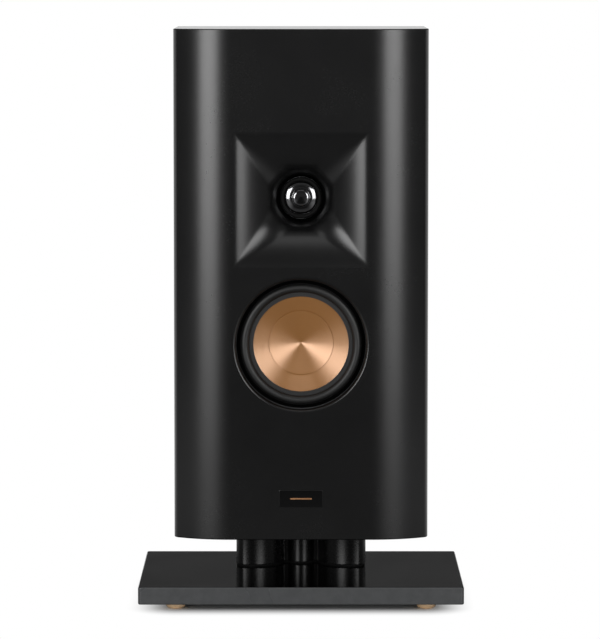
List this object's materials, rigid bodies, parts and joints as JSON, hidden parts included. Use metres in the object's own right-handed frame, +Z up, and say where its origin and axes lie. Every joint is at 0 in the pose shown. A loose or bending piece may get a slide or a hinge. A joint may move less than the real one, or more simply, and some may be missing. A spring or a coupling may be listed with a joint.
{
  "type": "bookshelf speaker",
  "caption": "Black two-way bookshelf speaker with curved front, square horn tweeter, copper-coloured woofer cone, lobed neck and flat base plate on turned copper feet.",
  "frame": {"origin": "on the floor, below the middle of the base plate", "axes": "+X to the right as seen from the front, +Y to the back, +Z up"},
  "size_m": [0.178, 0.135, 0.318],
  "materials": {
    "black_lacquer": "satin black lacquer over fibreboard",
    "black_plate": "polished black",
    "copper": "turned copper colour",
    "copper_cone": "spun copper colour with fine turning lines",
    "black_trim": "plain gloss black",
    "horn_plastic": "satin black",
    "black_dome": "coated black",
    "rubber": "matte black",
    "treated_cloth": "stiffened weave",
    "cast_frame": "black coat",
    "motor_steel": "zinc plate",
    "ferrite": "sintered dark grey",
    "former_foil": "foil",
    "coil_wire": "enamelled copper wire",
    "tag_board": "laminate",
    "capacitor_film": "wrapped film",
    "ceramic": "white ceramic",
    "nylon": "natural nylon",
    "lead_sleeve": "insulated wire",
    "cup_plastic": "fine grain black",
    "plated_brass": "gold plate",
    "red_plastic": "clear red cap",
    "black_plastic": "black cap",
    "screw_steel": "black oxide"
  },
  "bodies": {
    "cabinet": {"cabinet_shell": "black_lacquer", "rear_panel": "black_lacquer", "neck": "black_lacquer", "base_plate": "black_plate", "feet": "copper", "badge": "black_trim", "tweeter_horn": "horn_plastic", "tweeter_diaphragm_ring": "horn_plastic", "tweeter_surround": "black_dome", "woofer_surround": "rubber", "rear_panel_gasket": "rubber", "woofer_gasket": "rubber", "terminal_cup_gasket": "rubber", "neck_base_pad": "rubber", "neck_top_pad": "rubber", "woofer_spider": "treated_cloth", "woofer_basket": "cast_frame", "woofer_top_plate": "motor_steel", "woofer_yoke": "motor_steel", "tweeter_top_plate": "motor_steel", "tweeter_yoke": "motor_steel", "woofer_magnet": "ferrite", "tweeter_magnet": "ferrite", "woofer_choke": "coil_wire", "tweeter_shunt_coil": "coil_wire", "woofer_terminals": "tag_board", "tweeter_terminals": "tag_board", "crossover_board": "tag_board", "crossover_capacitors": "capacitor_film", "crossover_resistor": "ceramic", "crossover_standoffs": "nylon", "input_leads": "lead_sleeve", "woofer_leads": "lead_sleeve", "tweeter_leads": "lead_sleeve", "terminal_cup": "cup_plastic", "red_post": "plated_brass", "black_post": "plated_brass", "post_nuts": "plated_brass", "rear_panel_screws": "screw_steel", "horn_screws": "screw_steel", "tweeter_screws": "screw_steel", "woofer_screws": "screw_steel", "crossover_board_screws": "screw_steel", "terminal_cup_screws": "screw_steel", "neck_bolts": "screw_steel", "neck_insert_nuts": "screw_steel"},
    "woofer_diaphragm": {"woofer_cone": "copper_cone", "woofer_dust_cap": "copper_cone", "woofer_coil_former": "former_foil", "woofer_voice_coil": "coil_wire"},
    "tweeter_diaphragm": {"tweeter_dome": "black_dome", "tweeter_coil_former": "former_foil", "tweeter_voice_coil": "coil_wire"},
    "red_clamp": {"red_post_ferrule": "plated_brass"},
    "red_cap": {"red_post_cap": "red_plastic"},
    "black_clamp": {"black_post_ferrule": "plated_brass"},
    "black_cap": {"black_post_cap": "black_plastic"}
  },
  "joints": [
    {"name": "woofer_stroke", "type": "slide", "parent": "cabinet", "child": "woofer_diaphragm", "axis": [0, -1, 0], "range_m": [-0.003, 0.003], "stiffness_N_per_m": 1200, "deforming": ["woofer_surround", "woofer_spider"]},
    {"name": "tweeter_stroke", "type": "slide", "parent": "cabinet", "child": "tweeter_diaphragm", "axis": [0, -1, 0], "range_m": [-0.0003, 0.0003], "stiffness_N_per_m": 60, "deforming": ["tweeter_surround"]},
    {"name": "red_clamp_travel", "type": "slide", "parent": "cabinet", "child": "red_clamp", "axis": [0, 1, 0], "range_m": [0, 0.0032]},
    {"name": "red_cap_turn", "type": "hinge", "parent": "red_clamp", "child": "red_cap", "pos_m": [-0.0095, 0.04, 0.0995], "axis": [0, 1, 0], "range_deg": [0, 1445]},
    {"name": "black_clamp_travel", "type": "slide", "parent": "cabinet", "child": "black_clamp", "axis": [0, 1, 0], "range_m": [0, 0.0032]},
    {"name": "black_cap_turn", "type": "hinge", "parent": "black_clamp", "child": "black_cap", "pos_m": [0.0095, 0.04, 0.0995], "axis": [0, 1, 0], "range_deg": [0, 1445]}
  ],
  "couplings": [
    {"joint": "red_cap_turn", "follows": "red_clamp_travel", "rad_per_m": 7854},
    {"joint": "black_cap_turn", "follows": "black_clamp_travel", "rad_per_m": 7854}
  ]
}
